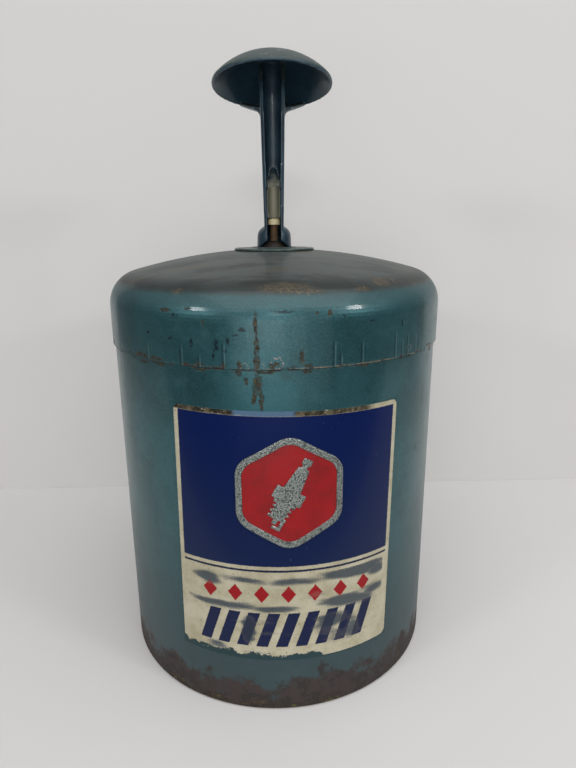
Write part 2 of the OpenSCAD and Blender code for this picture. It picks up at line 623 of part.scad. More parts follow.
module foot_outside() let (c = [foot_r - 0.3 - foot_round, foot_top - foot_round]) revolve(concat(
    [[0, foot_z], [foot_r, foot_z]], arc(c, foot_round, 0, 80, 8), [[0, foot_top]]));

// Room for the boot when the foot is pressed down over it, and an arch for it at the front
module foot_inside() let (c = disc_z + boot_rise - boot_crown + travel, r = boot_crown + 0.8, w = boot_r + 0.9)
    revolve(concat([[0, foot_z - cut], [w, foot_z - cut]],
        arc([0, c], r, acos(w / r), 90, 8)));
module foot_arch() translate([0, 0, foot_z + arch_h - arch_r]) rotate([90, 0, 0]) cylinder(r = arch_r, h = foot_r + cut);

// The boss joins the back of the channel, and runs out upwards into a pointed rib
module boss() let (r = boss_d / 2, low = boss_z - cut, shoulder = boss_z + boss_len, tip = shoulder + rib_len)
    intersection() {
        translate([0, 0, boss_z]) linear_extrude(boss_len + rib_len) intersection() {
            union() {
                circle(r = r, $fn = 48);
                translate([-r, 0]) square([2 * r, stem_back]);
            }
            crowned(stem_wall / 2);
        }
        rotate([90, 0, 90]) linear_extrude(3 * boss_d, center = true)
            polygon([[-r - 1, low], [stem_back, low], [stem_back, tip],
                     [stem_back - stem_wall - 0.4, tip], [-r - 1, shoulder]]);
        rotate([90, 0, 0]) linear_extrude(3 * boss_d, center = true)
            polygon([[-r - 1, low], [r + 1, low], [r + 1, shoulder], [0.8, tip], [-0.8, tip], [-r - 1, shoulder]]);
    }

module handle() color("#2d4c57") difference() {
    union() {
        difference() {
            head_outside();
            head_inside();
            head_open();
            stem_form(ledge_z, head_z + 2, stem_wall + 0.6, stem_front + 12);
        }
        difference() {
            union() {
                stem_form(stem_z, stem_top, 0, stem_front);
                foot_outside();
            }
            stem_form(foot_z - 4, ledge_z, stem_wall, stem_front + 12);
            stem_form(ledge_z - 0.01, stem_top + 1, stem_wall + 0.6, stem_front + 12);
            rail_slope();
            foot_inside();
            foot_arch();
        }
        boss();
    }
    translate([0, 0, boss_z - cut]) cylinder(r = rod_r + fit, h = rod_top - boss_z + cut);
    translate([0, 0, grub_z]) rotate([-90, 0, 0]) cylinder(r = 2.05, h = stem_back + cut);
}

module push_rod() color("#6e4a2c") revolve(
    [[0, rod_end], [tail_r, rod_end], [tail_r, seal_top], [rod_r, seal_top], [rod_r, rod_top - 0.5], [0, rod_top - 0.5]]);

module rod_collar() color("#cfc39c") revolve(
    [[rod_r + fit, collar_z], [4.9, collar_z], [4.9, boss_z - 1.6], [3.9, boss_z - fit], [rod_r + fit, boss_z - fit]]);

module set_screw() color("#54595b") translate([0, 0, grub_z]) rotate([-90, 0, 0]) difference() {
    translate([0, 0, rod_r + fit]) cylinder(r = 2, h = stem_back - rod_r - 0.4);
    translate([0, 0, stem_back - 2]) cylinder(r = 1.15, h = 4, $fn = 6);
}

module valve_poppet() color("#b08d4b") tube(chamber_r - 0.8, tail_r + fit, poppet_z, poppet_top);
module poppet_seal() color("#2b2b2b") tube(chamber_r - 1.2, tail_r + fit, poppet_top, seal_top);

module rod_nut() color("#9aa0a2") difference() {
    translate([0, 0, poppet_z - rod_nut_h]) cylinder(r = 4, h = rod_nut_h, $fn = 6);
    translate([0, 0, poppet_z - rod_nut_h - cut]) cylinder(r = tail_r + fit, h = rod_nut_h + 2 * cut);
}

drum_shell();
drum_base();
hopper_ring();
hopper_cone();
sump_cup();
sump_rivets();
lid_gasket();
vent_felt();
vent_retainer();
lid();
lid_seat_ring();
top_flange();
flange_nut();
rod_boot();
valve_body();
valve_screws();
valve_cap();
rod_seal();
valve_spring();
air_inlet();
inlet_locknut();
inlet_pipe();
blast_pipe();
plug_adapter();
adapter_ring();
adapter_screws();
adapter_nuts();
gun_body();
blast_nozzle();
mixing_block();
air_jet();
suction_tube();
handle();
push_rod();
rod_collar();
set_screw();
valve_poppet();
poppet_seal();
rod_nut();
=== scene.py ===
import math

import bpy
from mathutils import Matrix, Vector


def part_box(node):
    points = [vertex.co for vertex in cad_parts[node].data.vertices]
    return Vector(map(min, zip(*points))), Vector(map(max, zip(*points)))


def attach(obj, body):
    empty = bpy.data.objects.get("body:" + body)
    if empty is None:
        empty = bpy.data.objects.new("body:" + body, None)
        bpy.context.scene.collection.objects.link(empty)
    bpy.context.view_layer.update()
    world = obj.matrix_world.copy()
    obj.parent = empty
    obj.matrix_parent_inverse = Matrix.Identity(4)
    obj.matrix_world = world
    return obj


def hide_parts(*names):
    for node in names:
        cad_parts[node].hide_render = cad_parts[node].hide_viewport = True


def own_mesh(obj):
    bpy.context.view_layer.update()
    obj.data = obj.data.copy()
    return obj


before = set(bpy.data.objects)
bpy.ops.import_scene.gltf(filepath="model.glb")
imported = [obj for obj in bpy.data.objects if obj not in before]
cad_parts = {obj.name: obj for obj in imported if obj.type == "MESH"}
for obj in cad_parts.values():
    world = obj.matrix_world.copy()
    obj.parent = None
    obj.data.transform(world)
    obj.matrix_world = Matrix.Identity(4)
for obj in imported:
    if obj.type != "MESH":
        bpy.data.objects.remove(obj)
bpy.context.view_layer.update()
bpy.ops.object.select_all(action="DESELECT")

# Places on the real cleaner, in metres: a U is an arc length from the front, a V or Z a height, an R a radius
DRUM_R = 0.127
LID_Z = 0.257  # the lid's lower edge
HEAD_Z = 0.44157  # the handle's head
LABEL_U, LABEL_V = 0.0072, 0.1365
LABEL_WIDE, LABEL_TALL = 0.1615, 0.1866
LABEL_LEAN = 0.0157  # radians
FACE_R = DRUM_R + 0.0002  # the label's outer face
BADGE_U, BADGE_V = 0.008, 0.173


# Camera: the drum's axis stands 461 mm in front of it, and it looks down by 15.5 degrees
CAMERA_AT = (0, -0.46067, 0.34016)
PITCH, YAW, ROLL = 0.2712, 0.0218, -0.0078
FOCAL_LENGTH = 26.389


def aim(pitch, yaw, roll):
    """The camera's turn for a look that starts along +Y."""
    ahead = Vector((math.sin(yaw) * math.cos(pitch), math.cos(yaw) * math.cos(pitch), -math.sin(pitch)))
    right = ahead.cross(Vector((0, 0, 1))).normalized()
    level = Matrix((right, right.cross(ahead), -ahead)).transposed()
    return level @ Matrix.Rotation(roll, 3, "Z")


camera = bpy.data.objects.new("camera", bpy.data.cameras.new("camera"))
bpy.context.scene.collection.objects.link(camera)
camera.matrix_world = Matrix.Translation(CAMERA_AT) @ aim(PITCH, YAW, ROLL).to_4x4()
camera.data.lens = FOCAL_LENGTH
camera.data.clip_start = 0.01
bpy.context.scene.camera = camera
bpy.context.scene.view_settings.view_transform = "Standard"


# What every material is put together with

def pigment(code):
    """An sRGB hex colour as linear red, green, blue and alpha."""
    shares = [int(code[i:i + 2], 16) / 255 for i in (1, 3, 5)]
    return [c / 12.92 if c <= 0.04045 else ((c + 0.055) / 1.055) ** 2.4 for c in shares] + [1]


def add(tree, kind, inputs=(), out=0, **settings):
    """Adds a node with its settings, fills or links its inputs by order or by key, and gives one output."""
    node = tree.nodes.new("ShaderNode" + kind)
    for name, value in settings.items():
        setattr(node, name, value)
    for key, value in inputs.items() if isinstance(inputs, dict) else enumerate(inputs):
        if isinstance(value, bpy.types.NodeSocket):
            tree.links.new(value, node.inputs[key])
        else:
            node.inputs[key].default_value = value
    return node.outputs[out] if node.outputs else node


def new_finish(name):
    """An empty material, its node tree, and its Object coordinates."""
    finish = bpy.data.materials.new(name)
    finish.use_nodes = True
    finish.node_tree.nodes.clear()
    return finish, finish.node_tree, add(finish.node_tree, "TexCoord", out=3)


def close(tree, inputs):
    """Ends a material with its shader."""
    add(tree, "OutputMaterial", {"Surface": add(tree, "BsdfPrincipled", inputs)})


def patches(tree, where, across, low, high, detail=6, rough=0.7):
    """A mask of soft blotches about this many millimetres across, as wear, stain, dust and rust have them."""
    cloud = add(tree, "TexNoise", {"Vector": where, "Scale": 1000 / across, "Detail": detail, "Roughness": rough})
    return add(tree, "MapRange", (cloud, low, high), interpolation_type="SMOOTHSTEP")


def both(tree, *masks):
    """White only where all these masks are."""
    total = masks[0]
    for mask in masks[1:]:
        total = add(tree, "Math", (total, mask), operation="MULTIPLY")
    return total


def either(tree, *masks):
    """White where any of these masks is."""
    total = masks[0]
    for mask in masks[1:]:
        total = add(tree, "Math", (total, mask), operation="MAXIMUM")
    return total


def coats(tree, base, *layers):
    """Lays colours over a base, each where its mask is white."""
    for mask, colour in layers:
        base = add(tree, "Mix", {0: mask, 6: base, 7: colour}, 2, data_type="RGBA")
    return base


def unrolled(tree, where):
    """The drum's wall laid flat: arc length from the front, and height, in metres."""
    x, y, z = add(tree, "SeparateXYZ", (where,)).node.outputs
    turn = add(tree, "Math", (x, add(tree, "Math", (y, -1), operation="MULTIPLY")), operation="ARCTAN2")
    return add(tree, "CombineXYZ", (add(tree, "Math", (turn, DRUM_R), operation="MULTIPLY"), z))


def marks(tree, flat, spots):
    """Soft oval marks on the unrolled wall: degrees from the front, height, half width and half height in mm."""
    total = 0
    for turn, height, wide, tall in spots:
        u, v = math.radians(turn) * DRUM_R, height / 1000
        near = add(tree, "VectorMath", (flat, (1000 / wide, 1000 / tall, 0), (-u * 1000 / wide, -v * 1000 / tall, 0)),
                   operation="MULTIPLY_ADD")
        spot = add(tree, "MapRange", (add(tree, "VectorMath", (near,), 1, operation="LENGTH"), 1.1, 0.5),
                   interpolation_type="SMOOTHSTEP")
        total = either(tree, spot, total)
    return total


# Materials

# Metallic enamel, sprayed on pressed steel and stoved: aluminium flake in a dark teal under a clear gloss.
# It is cloudy with age, brown with grime, scratched round the drum, and rusts where it is chipped.
# The flake is drawn about a millimetre across, far coarser than it is, so that it shows.
# The marks on it: degrees round from the front, height, half width and half height in mm.
RUST_ON_DRUM = (
    (-5.2, 247, 3.4, 8), (-6.4, 240, 1.6, 7), (-4.2, 237, 1.8, 10), (-8.4, 249, 1.6, 3), (-36, 255, 6, 1.4),
    (-44, 254.6, 5, 2), (-21.7, 255, 6, 1.2), (-10.5, 254, 2.6, 2), (8.8, 254.4, 4, 1.4), (26, 255, 4, 0.9),
    (-3, 255, 8, 1.6), (62, 254.6, 5, 1.4), (-75, 254, 6, 2), (100, 254.6, 7, 1.6), (150, 254, 6, 2),
    (-140, 254.6, 8, 1.6), (178, 252, 3, 5))
RUST_ON_LID = (
    (0.4, 260.6, 1.6, 1.6), (-5.3, 283, 1.3, 10), (-5.2, 271, 1.7, 9), (-5.2, 261, 2.2, 6), (-20, 285, 2, 2.6),
    (15, 290.5, 1.8, 2.4), (11.5, 291, 1.4, 1.2), (-37, 258.8, 8, 1.8), (-44, 259.6, 8, 2.2), (-50, 258.6, 5, 1.4),
    (-21.7, 258.6, 4, 1.8), (-14.6, 259, 2, 2.4), (-10, 260, 1.6, 3.4), (-1, 258.8, 2.4, 2.2), (9, 258.9, 3.4, 1.8),
    (7, 264, 2, 5), (-26, 258.2, 3, 1.2), (-33, 291, 6, 1.2), (-25, 293, 3, 1), (58, 259, 6, 1.6), (80, 284, 3, 2),
    (-70, 260, 8, 2.6), (120, 259, 7, 2), (160, 258.6, 8, 2), (-120, 259, 8, 2), (175, 280, 1, 16),
    (-160, 290, 4, 1.6))
CHIPS_ON_LID = (
    (-16.4, 271, 2, 5), (-13, 274, 1.4, 3), (-24, 272, 1.4, 3), (-9, 281, 3, 1.6), (-11, 278, 2, 1.2),
    (-29, 289, 3, 1.3), (2, 292, 9, 0.9), (-17.5, 265, 1, 5), (-31, 274, 2, 1.4), (-14, 268, 1, 2),
    (19, 288, 1.2, 1.2), (28, 284, 2, 0.8), (40, 280, 0.8, 3), (-40, 276, 2, 1), (70, 272, 1, 4), (-95, 280, 2, 3),
    (130, 270, 1, 5), (-150, 276, 2, 2))
RINGS_ON_LID = (
    (0.4, 260.6, 3.9, 3.9), (-8.6, 258.6, 3.2, 2.6), (-4.4, 258.4, 3.4, 2.6), (44, 262, 3, 3), (-96, 262, 4, 4))
SPECKS_ON_LID = (
    (3, 305, 20, 3.6), (9, 303, 14, 2), (36, 306, 9, 3), (27, 303, 7, 2), (-30, 302, 6, 2), (24, 293, 5, 2),
    (110, 305, 20, 3), (-100, 304, 16, 3), (170, 303, 14, 3))
# The creases in the lid: degrees round from the front, and height above its lower edge in mm.
CREASES = (
    (-27.8, 14), (-14.7, 17), (16, 17), (18, 9), (24.7, 16), (37.1, 19), (40.3, 12), (43, 17), (47.3, 15), (50, 11),
    (-41, 12), (-22, 9), (62, 15), (-58, 14), (84, 13), (-88, 16), (112, 15), (-121, 13), (151, 15), (170, 9),
    (-146, 14), (-168, 11))
# The heights between which the wear of the crown and shoulder, the foot and the seam sets in, in metres.
CROWN_Z = (0.2995, 0.3045)
RING_Z = (0.313, 0.305)
FILM_Z = (0.286, 0.299)
FOOT_Z = (0.05, 0.0)
LOWER_Z = (0.2, 0.03)
SEAM_Z = (0.2545, 0.2565)


def teal_layers(tree, where, flat, on_lid):
    """Colour, dullness and height of the enamel."""
    z = add(tree, "SeparateXYZ", (where,), 2)
    shake = 0.004
    ragged = add(tree, "VectorMath", (add(tree, "TexNoise", {"Vector": where, "Scale": 330, "Detail": 5}, 1),
                                      (shake, shake, 0), flat), operation="MULTIPLY_ADD")
    ragged = add(tree, "VectorMath", (ragged, (-shake / 2, -shake / 2, 0)), operation="ADD")
    cloud = patches(tree, where, 55, 0.35, 0.65, 4)
    flake = patches(tree, where, 0.9, 0.35, 0.8, 1)
    paint = coats(tree, pigment("#234d52"), (cloud, pigment("#305f65")), (both(tree, flake, 0.2), pigment("#5f9298")))

    stain = both(tree, patches(tree, where, 16, 0.5, 0.78, 8, 0.75), 0.5)
    pits = both(tree, patches(tree, where, 2.4, 0.66, 0.71), patches(tree, where, 30, 0.48, 0.65))
    if on_lid:
        # Dust and fine rust lie on the crown, worn dark where the hand wipes it
        crown = add(tree, "MapRange", (z, *CROWN_Z), interpolation_type="SMOOTHSTEP")
        ring = both(tree, crown, add(tree, "MapRange", (z, *RING_Z), interpolation_type="SMOOTHSTEP"))
        film = both(tree, add(tree, "MapRange", (z, *FILM_Z), interpolation_type="SMOOTHSTEP"), 0.5)
        dust = both(tree, crown, patches(tree, where, 26, -0.3, 0.6, 5), 0.92)
        stretch = add(tree, "Mapping", {"Vector": where, "Scale": (0.35, 1, 1)})
        specked = either(tree, marks(tree, ragged, SPECKS_ON_LID),
                         both(tree, crown, patches(tree, stretch, 26, 0.56, 0.7, 3)))
        speckle = both(tree, specked, patches(tree, stretch, 1.1, 0.5, 0.6, 5, 0.8), 0.55)
        rings = add(tree, "Math", (marks(tree, ragged, RINGS_ON_LID), 0.5, 0.4), operation="COMPARE")
        rings = both(tree, rings, patches(tree, where, 1.4, 0.48, 0.58), 0.75)
        grime = both(tree, crown, patches(tree, stretch, 20, 0.44, 0.64, 4), 0.75)
        edge = both(tree, add(tree, "MapRange", (z, LID_Z + 0.0025, LID_Z), interpolation_type="SMOOTHSTEP"),
                    patches(tree, where, 6, 0.46, 0.62))
        chips = both(tree, marks(tree, ragged, CHIPS_ON_LID), patches(tree, where, 2, 0.4, 0.5))
        u = add(tree, "SeparateXYZ", (flat,))
        bright = both(tree, add(tree, "MapRange", (z, LID_Z + 0.0009, LID_Z + 0.0004)),
                      patches(tree, where, 22, 0.4, 0.55), add(tree, "MapRange", (u, -0.03, 0.03)))
        paint = coats(tree, paint, (stain, pigment("#2c3a38")), (film, pigment("#3b4b4c")),
                      (dust, pigment("#484d4b")), (grime, pigment("#262a28")),
                      (both(tree, ring, 0.7), pigment("#1d2524")),
                      (both(tree, specked, crown, 0.5), pigment("#463a2a")),
                      (speckle, pigment("#7a6a50")), (rings, pigment("#9c8a82")),
                      (both(tree, chips, 0.9), pigment("#101e25")), (bright, pigment("#8f8673")))
        dull = either(tree, stain, both(tree, crown, 0.55), both(tree, film, 0.8), speckle)
        spots = RUST_ON_LID
    else:
        # Grime and rust climb from where the drum stands, in blotches
        foot = add(tree, "MapRange", (z, *FOOT_Z), interpolation_type="SMOOTHSTEP")
        lower = add(tree, "MapRange", (z, *LOWER_Z), interpolation_type="SMOOTHSTEP")
        blotch = add(tree, "TexNoise", {"Vector": where, "Scale": 45, "Detail": 7, "Roughness": 0.65})
        climb = add(tree, "Math", (foot, 0.45, blotch), operation="MULTIPLY_ADD")
        climb = add(tree, "MapRange", (climb, 0.68, 0.84), interpolation_type="SMOOTHSTEP")
        rise = add(tree, "Math", (patches(tree, where, 15, 0.25, 0.8, 8, 0.8), -0.018, z), operation="MULTIPLY_ADD")
        hem = both(tree, add(tree, "MapRange", (rise, 0.002, -0.009), interpolation_type="SMOOTHSTEP"), 0.9)
        seam = both(tree, add(tree, "MapRange", (z, *SEAM_Z), interpolation_type="SMOOTHSTEP"),
                    patches(tree, where, 7, 0.42, 0.6))
        edge = either(tree, hem, seam)
        paint = coats(tree, paint, (both(tree, lower, 0.75), pigment("#333d41")), (stain, pigment("#2c3a38")),
                      (both(tree, climb, 0.85), pigment("#35231d")),
                      (both(tree, climb, patches(tree, where, 8, 0.45, 0.6)), pigment("#27211e")))
        dull = either(tree, stain, both(tree, climb, 0.85), both(tree, lower, 0.45))
        spots = RUST_ON_DRUM
    eaten = marks(tree, ragged, spots)
    paint = coats(tree, paint, (both(tree, eaten, patches(tree, where, 5, 0.2, 0.55), 0.65), pigment("#2f2f19")))
    rust = either(tree, pits, edge, both(tree, eaten, patches(tree, where, 2.6, 0.42, 0.58)))
    run = add(tree, "Mapping", {"Vector": flat, "Scale": (0.05, 1, 1)})
    scratch = both(tree, patches(tree, run, 0.8, 0.66, 0.7, 2), patches(tree, where, 30, 0.5, 0.7), 0.35)
    brown = coats(tree, pigment("#191009"), (patches(tree, where, 2.4, 0.42, 0.68), pigment("#443019")),
                  (patches(tree, where, 5, 0.55, 0.66), pigment("#5b5629")),
                  (patches(tree, where, 2.2, 0.69, 0.73), pigment("#8d7b72")))
    swell = both(tree, patches(tree, where, 2.6, 0.2, 0.8, 3), 0.1)
    height = add(tree, "Math", (rust, -0.7, swell), operation="MULTIPLY_ADD")
    if on_lid:
        # The press left short upright creases above the skirt's lower edge; each fold is pressed in as a bump and
        # darkened with painted shade, and one flank of each gets a painted highlight
        for turn, tall in CREASES:
            across, top = math.radians(turn) * DRUM_R, LID_Z + tall / 1000
            short = add(tree, "MapRange", (z, top, top - 0.004))
            fold_with_painted_shade = both(tree, add(tree, "Math", (u, across, 0.00075), operation="COMPARE"), short)
            painted_flank_highlight = both(tree, add(tree, "Math", (u, across + 0.0014, 0.0005), operation="COMPARE"), short)
            # Painted shade in the fold, and a painted highlight on one flank
            paint = coats(tree, paint, (both(tree, fold_with_painted_shade, 0.4), pigment("#12242a")),
                          (both(tree, painted_flank_highlight, 0.25), pigment("#7fa9aa")))
            height = add(tree, "Math", (fold_with_painted_shade, -1, height), operation="MULTIPLY_ADD")
    colour = coats(tree, paint, (scratch, pigment("#7fa3a6")), (rust, brown))
    return colour, either(tree, dull, rust), height


def teal_enamel(name, on_lid):
    finish, tree, where = new_finish(name)
    colour, dull, height = teal_layers(tree, where, unrolled(tree, where), on_lid)
    close(tree, {"Base Color": colour, "Metallic": add(tree, "MapRange", (dull, 0, 1, 0.75, 0.0)),
                 "Roughness": add(tree, "MapRange", (dull, 0, 1, 0.36, 0.75)), "IOR": 1.5,
                 "Coat Weight": add(tree, "MapRange", (dull, 0, 0.8, 0.4, 0.0)), "Coat Roughness": 0.1,
                 "Normal": add(tree, "Bump", {"Strength": 0.5, "Distance": 0.0006, "Height": height})})
    return finish


# Printed foil, stuck on the drum and lacquered: flat ink with a soft gloss. The ink is rubbed through to
# blue-grey metal on the pale panel, the upper edge has rusted, and the lower edge has flaked off.
# Its smears: places across and up from the label's middle, half width and half height in mm.
SMEARS = (
    (-58, -31, 12, 5), (-30, -29, 22, 4), (6, -29, 26, 4), (45, -29, 34, 6), (68, -33, 10, 6), (-45, -50, 34, 4),
    (-10, -51, 22, 3), (40, -51, 28, 6), (66, -47, 14, 5), (30, -66, 14, 14), (-28, -70, 5, 14), (48, -72, 8, 10),
    (-52, -84, 10, 4))


def printed_foil():
    finish, tree, where = new_finish("printed_foil")
    flat = unrolled(tree, where)
    enamel, dull, height = teal_layers(tree, where, flat, False)
    shake = 0.0009
    shaken = add(tree, "VectorMath", (add(tree, "TexNoise", {"Vector": where, "Scale": 900, "Detail": 4}, 1),
                                      (shake, shake, 0), flat), operation="MULTIPLY_ADD")
    on = add(tree, "Mapping", {"Vector": shaken, "Location": (LABEL_U + shake / 2, LABEL_V + shake / 2, 0),
                               "Rotation": (0, 0, -LABEL_LEAN), "Scale": (0.001, 0.001, 1)}, vector_type="TEXTURE")
    u, v, _ = add(tree, "SeparateXYZ", (on,)).node.outputs

    def plate(wide, low, high, corner):
        """A rounded plate on the label: half width, lower and upper edge from its middle, and corners, in mm."""
        out = add(tree, "VectorMath", (on, (0, (low + high) / 2, 0)), operation="SUBTRACT")
        out = add(tree, "VectorMath", (out,), operation="ABSOLUTE")
        out = add(tree, "VectorMath", (out, (wide - corner, (high - low) / 2 - corner, 0)), operation="SUBTRACT")
        out = add(tree, "VectorMath", (out, (0, 0, 0)), operation="MAXIMUM")
        reach = add(tree, "VectorMath", (out,), 1, operation="LENGTH")
        return add(tree, "MapRange", (reach, corner + 0.25, corner - 0.25))

    blue = plate(76.4, -17.6, 89.6, 0.6)
    stripe = plate(76.2, -21.9, -20.3, 0.4)
    # Two bands of plain ornament in the pale panel: red lozenges over blue slanted bars
    half_step, half_wide, half_tall, middle_v = 9.3, 5.2, 6.6, -39.4
    side = add(tree, "Math", (u, half_step, -half_step), operation="WRAP")
    side = add(tree, "Math", (add(tree, "Math", (side,), operation="ABSOLUTE"), half_wide), operation="DIVIDE")
    rise = add(tree, "Math", (v, -middle_v), operation="ADD")
    rise = add(tree, "Math", (add(tree, "Math", (rise,), operation="ABSOLUTE"), half_tall), operation="DIVIDE")
    far = add(tree, "Math", (side, rise), operation="ADD")
    lozenge = both(tree, add(tree, "MapRange", (far, 1.05, 0.97)), plate(63, -47, -32, 0.5))
    half_step, half_row, middle_v = 7, 62, -68
    lean = add(tree, "Math", (add(tree, "Math", (v, -middle_v), operation="ADD"), -0.32, u), operation="MULTIPLY_ADD")
    bar = add(tree, "Math", (lean, half_step, -half_step), operation="WRAP")
    bar = add(tree, "Math", (bar,), operation="ABSOLUTE")
    row = add(tree, "Math", (add(tree, "Math", (lean,), operation="ABSOLUTE"), half_row), operation="LESS_THAN")
    bars = both(tree, add(tree, "MapRange", (bar, 4.4, 4.0)), row, plate(78, -82, -54.5, 1))

    pale = coats(tree, pigment("#b9b29c"), (patches(tree, where, 20, 0.35, 0.7), pigment("#a1997f")))
    ink = coats(tree, pigment("#001548"), (add(tree, "MapRange", (v, 80, -20)), pigment("#0e1d42")),
                (both(tree, patches(tree, where, 9, 0.6, 0.8), 0.15), pigment("#2a3658")))
    # The panel is rubbed thin in long level smears, which the print's fine dots break up at their edges
    rub = add(tree, "Mapping", {"Vector": on, "Scale": (0.0006, 0.0026, 1)})
    smears = 0
    for across, up, wide, tall in SMEARS:
        near = add(tree, "VectorMath", (on, (1 / wide, 1 / tall, 0), (-across / wide, -up / tall, 0)),
                   operation="MULTIPLY_ADD")
        near = add(tree, "VectorMath", (near,), 1, operation="LENGTH")
        smears = either(tree, add(tree, "MapRange", (near, 1.3, 0.2)), smears)
    dots = add(tree, "VectorMath", (on, (5.5, 5.5, 0)), operation="MULTIPLY")
    dots = add(tree, "VectorMath", (dots,), operation="SINE")
    dots = add(tree, "VectorMath", (dots, (0.03, 0.03, 0)), 1, operation="DOT_PRODUCT")
    worn = add(tree, "TexNoise", {"Vector": rub, "Scale": 36, "Detail": 3, "Roughness": 0.5})
    worn = add(tree, "Math", (smears, 0.42, worn), operation="MULTIPLY_ADD")
    worn = add(tree, "Math", (worn, dots), operation="ADD")
    worn = add(tree, "MapRange", (worn, 0.6, 0.82), interpolation_type="SMOOTHSTEP")
    worn = both(tree, worn, plate(74, -88, -24.5, 3))
    printed = coats(tree, pale, (blue, ink), (stripe, pigment("#0c1838")),
                    (both(tree, worn, 0.9), pigment("#434e58")),
                    (both(tree, lozenge, add(tree, "MapRange", (worn, 0, 1, 1, 0.5))), pigment("#8e1218")),
                    (both(tree, bars, add(tree, "MapRange", (worn, 0, 1, 1, 0.7))), pigment("#0f1a3d")))

    # Wear: a rusty upper edge that is blue-grey in one stretch, chipped sides, white nicks in the blue
    top_edge = both(tree, add(tree, "MapRange", (v, 89.2, 90)), patches(tree, where, 18, 0.3, 0.36, 3),
                    add(tree, "MapRange", (u, 60, 52)))
    stretch = add(tree, "Math", (add(tree, "Math", (u, 17), operation="ADD"),), operation="ABSOLUTE")
    sides = both(tree, add(tree, "Math", (1, blue), operation="SUBTRACT"), patches(tree, where, 1.8, 0.64, 0.68, 5))
    nick = both(tree, blue, patches(tree, where, 1.6, 0.735, 0.75, 3), patches(tree, where, 40, 0.5, 0.55, 2))
    bronze = coats(tree, pigment("#241f17"), (patches(tree, where, 6, 0.4, 0.65), pigment("#5f5846")),
                   (patches(tree, where, 5, 0.6, 0.68), pigment("#a39a86")),
                   (add(tree, "MapRange", (stretch, 21, 18)), pigment("#4f6780")))
    printed = coats(tree, printed, (top_edge, bronze), (sides, pigment("#2f2c26")), (nick, pigment("#c3c8cc")))

    # What is left of the foil: whole above and at the right, eaten away along the rest of the foot
    eaten = both(tree, patches(tree, where, 9, 0.2, 0.8, 7, 0.75), add(tree, "MapRange", (u, 27, 22)))
    foot = add(tree, "Math", (eaten, 9, -93), operation="MULTIPLY_ADD")
    left = both(tree, plate(79.8, -92.3, 92.9, 4.5), add(tree, "Math", (v, foot), operation="GREATER_THAN"))
    colour = coats(tree, enamel, (left, printed))
    bare = add(tree, "Mix", {0: left, 2: dull, 3: either(tree, both(tree, worn, 0.35), top_edge, sides, 0.12)})
    lift = add(tree, "Math", (left, 0.25, both(tree, height, add(tree, "Math", (1, left), operation="SUBTRACT"))),
               operation="MULTIPLY_ADD")
    close(tree, {"Base Color": colour, "Metallic": add(tree, "Mix", {0: left, 2: 0.55, 3: both(tree, worn, 0.5)}),
                 "Roughness": add(tree, "MapRange", (bare, 0, 1, 0.3, 0.75)), "IOR": 1.5,
                 "Specular IOR Level": 0.16,
                 "Coat Weight": add(tree, "MapRange", (bare, 0, 0.8, 0.1, 0.0)), "Coat Roughness": 0.08,
                 "Normal": add(tree, "Bump", {"Strength": 0.5, "Distance": 0.0005, "Height": lift})})
    return finish


# Pebbled foil of the badge's raised parts: embossed aluminium with dirt between its grains, each about 1 mm.
def pebbled_foil():
    finish, tree, where = new_finish("pebbled_aluminium_foil")
    grain = add(tree, "TexVoronoi", {"Vector": where, "Scale": 1000})
    shine = coats(tree, pigment("#a9afaa"), (add(tree, "MapRange", (grain, 0.2, 0.9)), pigment("#4c524f")),
                  (patches(tree, where, 12, 0.55, 0.75), pigment("#6b6d62")))
    close(tree, {"Base Color": shine, "Metallic": 0.85, "Roughness": 0.36,
                 "Normal": add(tree, "Bump", {"Strength": 0.7, "Distance": 0.0005, "Height": grain})})
    return finish


# Red lacquer on the badge's pressed foil: smooth and glossy, rubbed pale in a few small places.
def red_lacquer():
    finish, tree, where = new_finish("red_lacquer")
    rub = both(tree, patches(tree, where, 4, 0.7, 0.74), 0.8)
    swell = patches(tree, where, 6, 0.2, 0.8)
    colour = coats(tree, pigment("#960a0f"), (patches(tree, where, 22, 0.4, 0.7), pigment("#7c0d12")),
                   (rub, pigment("#c9a79a")))
    close(tree, {"Base Color": colour, "Roughness": 0.32, "IOR": 1.5, "Coat Weight": 0.4, "Coat Roughness": 0.1,
                 "Normal": add(tree, "Bump", {"Strength": 0.2, "Distance": 0.0004, "Height": swell})})
    return finish


# Enamel on the cast handle: almost black blue-green and glossy in the hollow, whose downward faces carry blotches of
# painted bounce light, rubbed dull grey-green on the palm, tan metal where the rod's boss is worn. The wear sets in
# between these radii and heights, in metres.
BOSS_R = (0.0057, 0.0053)
BOSS_Z = (0.388, 0.374)


